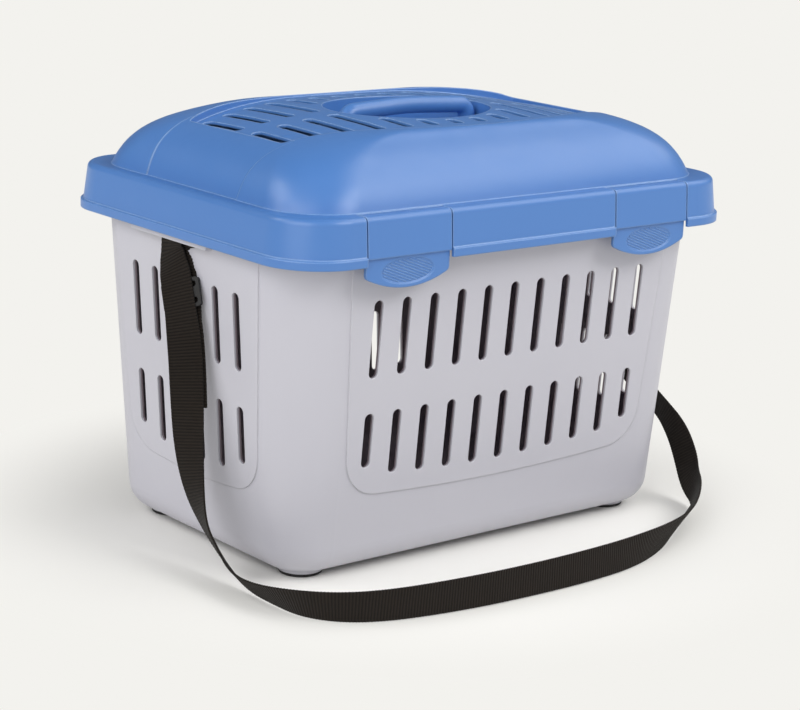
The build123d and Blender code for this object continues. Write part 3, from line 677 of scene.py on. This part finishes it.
def makeFloor():  # takes shadows near the carrier and fades to the plain background colour
    material, tree, shader = newMaterial("floorPaper")
    shader.inputs["Base Color"].default_value = linear(stageLook["floor"])
    shader.inputs["Roughness"].default_value = stageLook["floorRough"]
    shader.inputs["Specular IOR Level"].default_value = 0.0
    coords = add(tree, "ShaderNodeTexCoord", (-900, 300))
    reach = add(tree, "ShaderNodeVectorMath", (-700, 300), operation="LENGTH")
    fade = remap(tree, (-500, 300), stageLook["fade"], interpolation_type="SMOOTHSTEP")
    glow = put(add(tree, "ShaderNodeEmission", (-200, 300)), Strength=1.0)
    glow.inputs["Color"].default_value = linear(stageLook["floor"])
    mix = add(tree, "ShaderNodeMixShader", (200, 300))
    link = tree.links.new
    link(coords.outputs["Object"], reach.inputs[0])
    link(reach.outputs["Value"], fade.inputs["Value"])
    link(fade.outputs[0], mix.inputs[0])
    link(shader.outputs[0], mix.inputs[1])
    link(glow.outputs[0], mix.inputs[2])
    link(mix.outputs[0], tree.nodes["Material Output"].inputs["Surface"])
    bm = bmesh.new()
    bmesh.ops.create_circle(bm, cap_ends=True, segments=64, radius=stageLook["floorRadius"])
    floor = newPiece("floor", bm, material)


softBoxes = {  # place and size in metres, power in watts, tint
    "keyRight": ((1.5, -0.5, 1.9), (1.8, 1.8), 20, (1.0, 0.99, 0.98)),
    "keyFront": ((0.9, -2.2, 2.0), (1.5, 1.2), 32, (1.0, 1.0, 1.0)),
    "fillLeft": ((-2.4, -0.9, 1.5), (2.2, 2.0), 38, (0.99, 0.99, 1.0)),
    "rearLeft": ((-1.7, 0.9, 1.8), (1.1, 1.1), 13, (1.0, 1.0, 1.0)),
}


def makeLights():
    for name, (place, size, power, tint) in softBoxes.items():
        lamp = bpy.data.lights.new(name, "AREA")
        lamp.shape = "RECTANGLE"
        lamp.size, lamp.size_y = size
        lamp.energy = power
        lamp.color = tint
        obj = bpy.data.objects.new(name, lamp)
        obj.location = place
        aim = Vector(stageLook["aimAt"]) - Vector(place)
        obj.rotation_euler = aim.to_track_quat("-Z", "Y").to_euler()
        bpy.context.collection.objects.link(obj)


def makeWorld():  # soft light, stronger from the front; the camera sees a plain background
    world = bpy.data.worlds.new("studio")
    bpy.context.scene.world = world
    world.use_nodes = True
    tree = world.node_tree
    coords = add(tree, "ShaderNodeTexCoord", (-900, 0))
    toward = add(tree, "ShaderNodeVectorMath", (-700, 0), operation="DOT_PRODUCT")
    toward.inputs[1].default_value = stageLook["worldFrom"]
    ends, strengths = stageLook["worldEnds"], stageLook["world"]
    sky = remap(tree, (-500, 0), ends, strengths, interpolation_type="SMOOTHSTEP")
    soft = tree.nodes["Background"]
    soft.inputs["Color"].default_value = (1, 1, 1, 1)
    plain = put(add(tree, "ShaderNodeBackground", (-200, -200)), Strength=1.0)
    plain.inputs["Color"].default_value = linear(stageLook["floor"])
    path = add(tree, "ShaderNodeLightPath", (-200, 300))
    seen = add(tree, "ShaderNodeMixShader", (100, 0))
    link = tree.links.new
    link(coords.outputs["Generated"], toward.inputs[0])
    link(toward.outputs["Value"], sky.inputs["Value"])
    link(sky.outputs[0], soft.inputs["Strength"])
    link(path.outputs["Is Camera Ray"], seen.inputs[0])
    link(soft.outputs[0], seen.inputs[1])
    link(plain.outputs[0], seen.inputs[2])
    link(seen.outputs[0], tree.nodes["World Output"].inputs["Surface"])


view = {  # degrees, metres, and the lens in millimetres on a 36 mm sensor
    "yaw": 39.73, "pitch": 14.119, "roll": 2.334, "distance": 1.838469, "lens": 102.335,
    "sensor": 36, "target": (0.003324, 0.0, 0.127083),
}


def makeCamera():
    yaw, pitch, roll = (math.radians(view[k]) for k in ("yaw", "pitch", "roll"))
    level = math.cos(pitch)
    back = Vector((-math.sin(yaw) * level, -math.cos(yaw) * level, math.sin(pitch)))
    right = (-back).cross(Vector((0, 0, 1))).normalized()
    up = right.cross(-back)
    sideways = right * math.cos(roll) + up * math.sin(roll)
    upward = up * math.cos(roll) - right * math.sin(roll)
    data = bpy.data.cameras.new("camera")
    data.sensor_width = view["sensor"]
    data.lens = view["lens"]
    camera = bpy.data.objects.new("camera", data)
    turn = Matrix((sideways, upward, back)).transposed().to_4x4()
    place = Vector(view["target"]) + Vector((0, middleY, 0)) + back * view["distance"]
    camera.matrix_world = Matrix.Translation(place) @ turn
    bpy.context.collection.objects.link(camera)
    bpy.context.scene.camera = camera


makeFloor()
makeLights()
makeWorld()
makeCamera()
bpy.context.scene.view_settings.view_transform = "Standard"
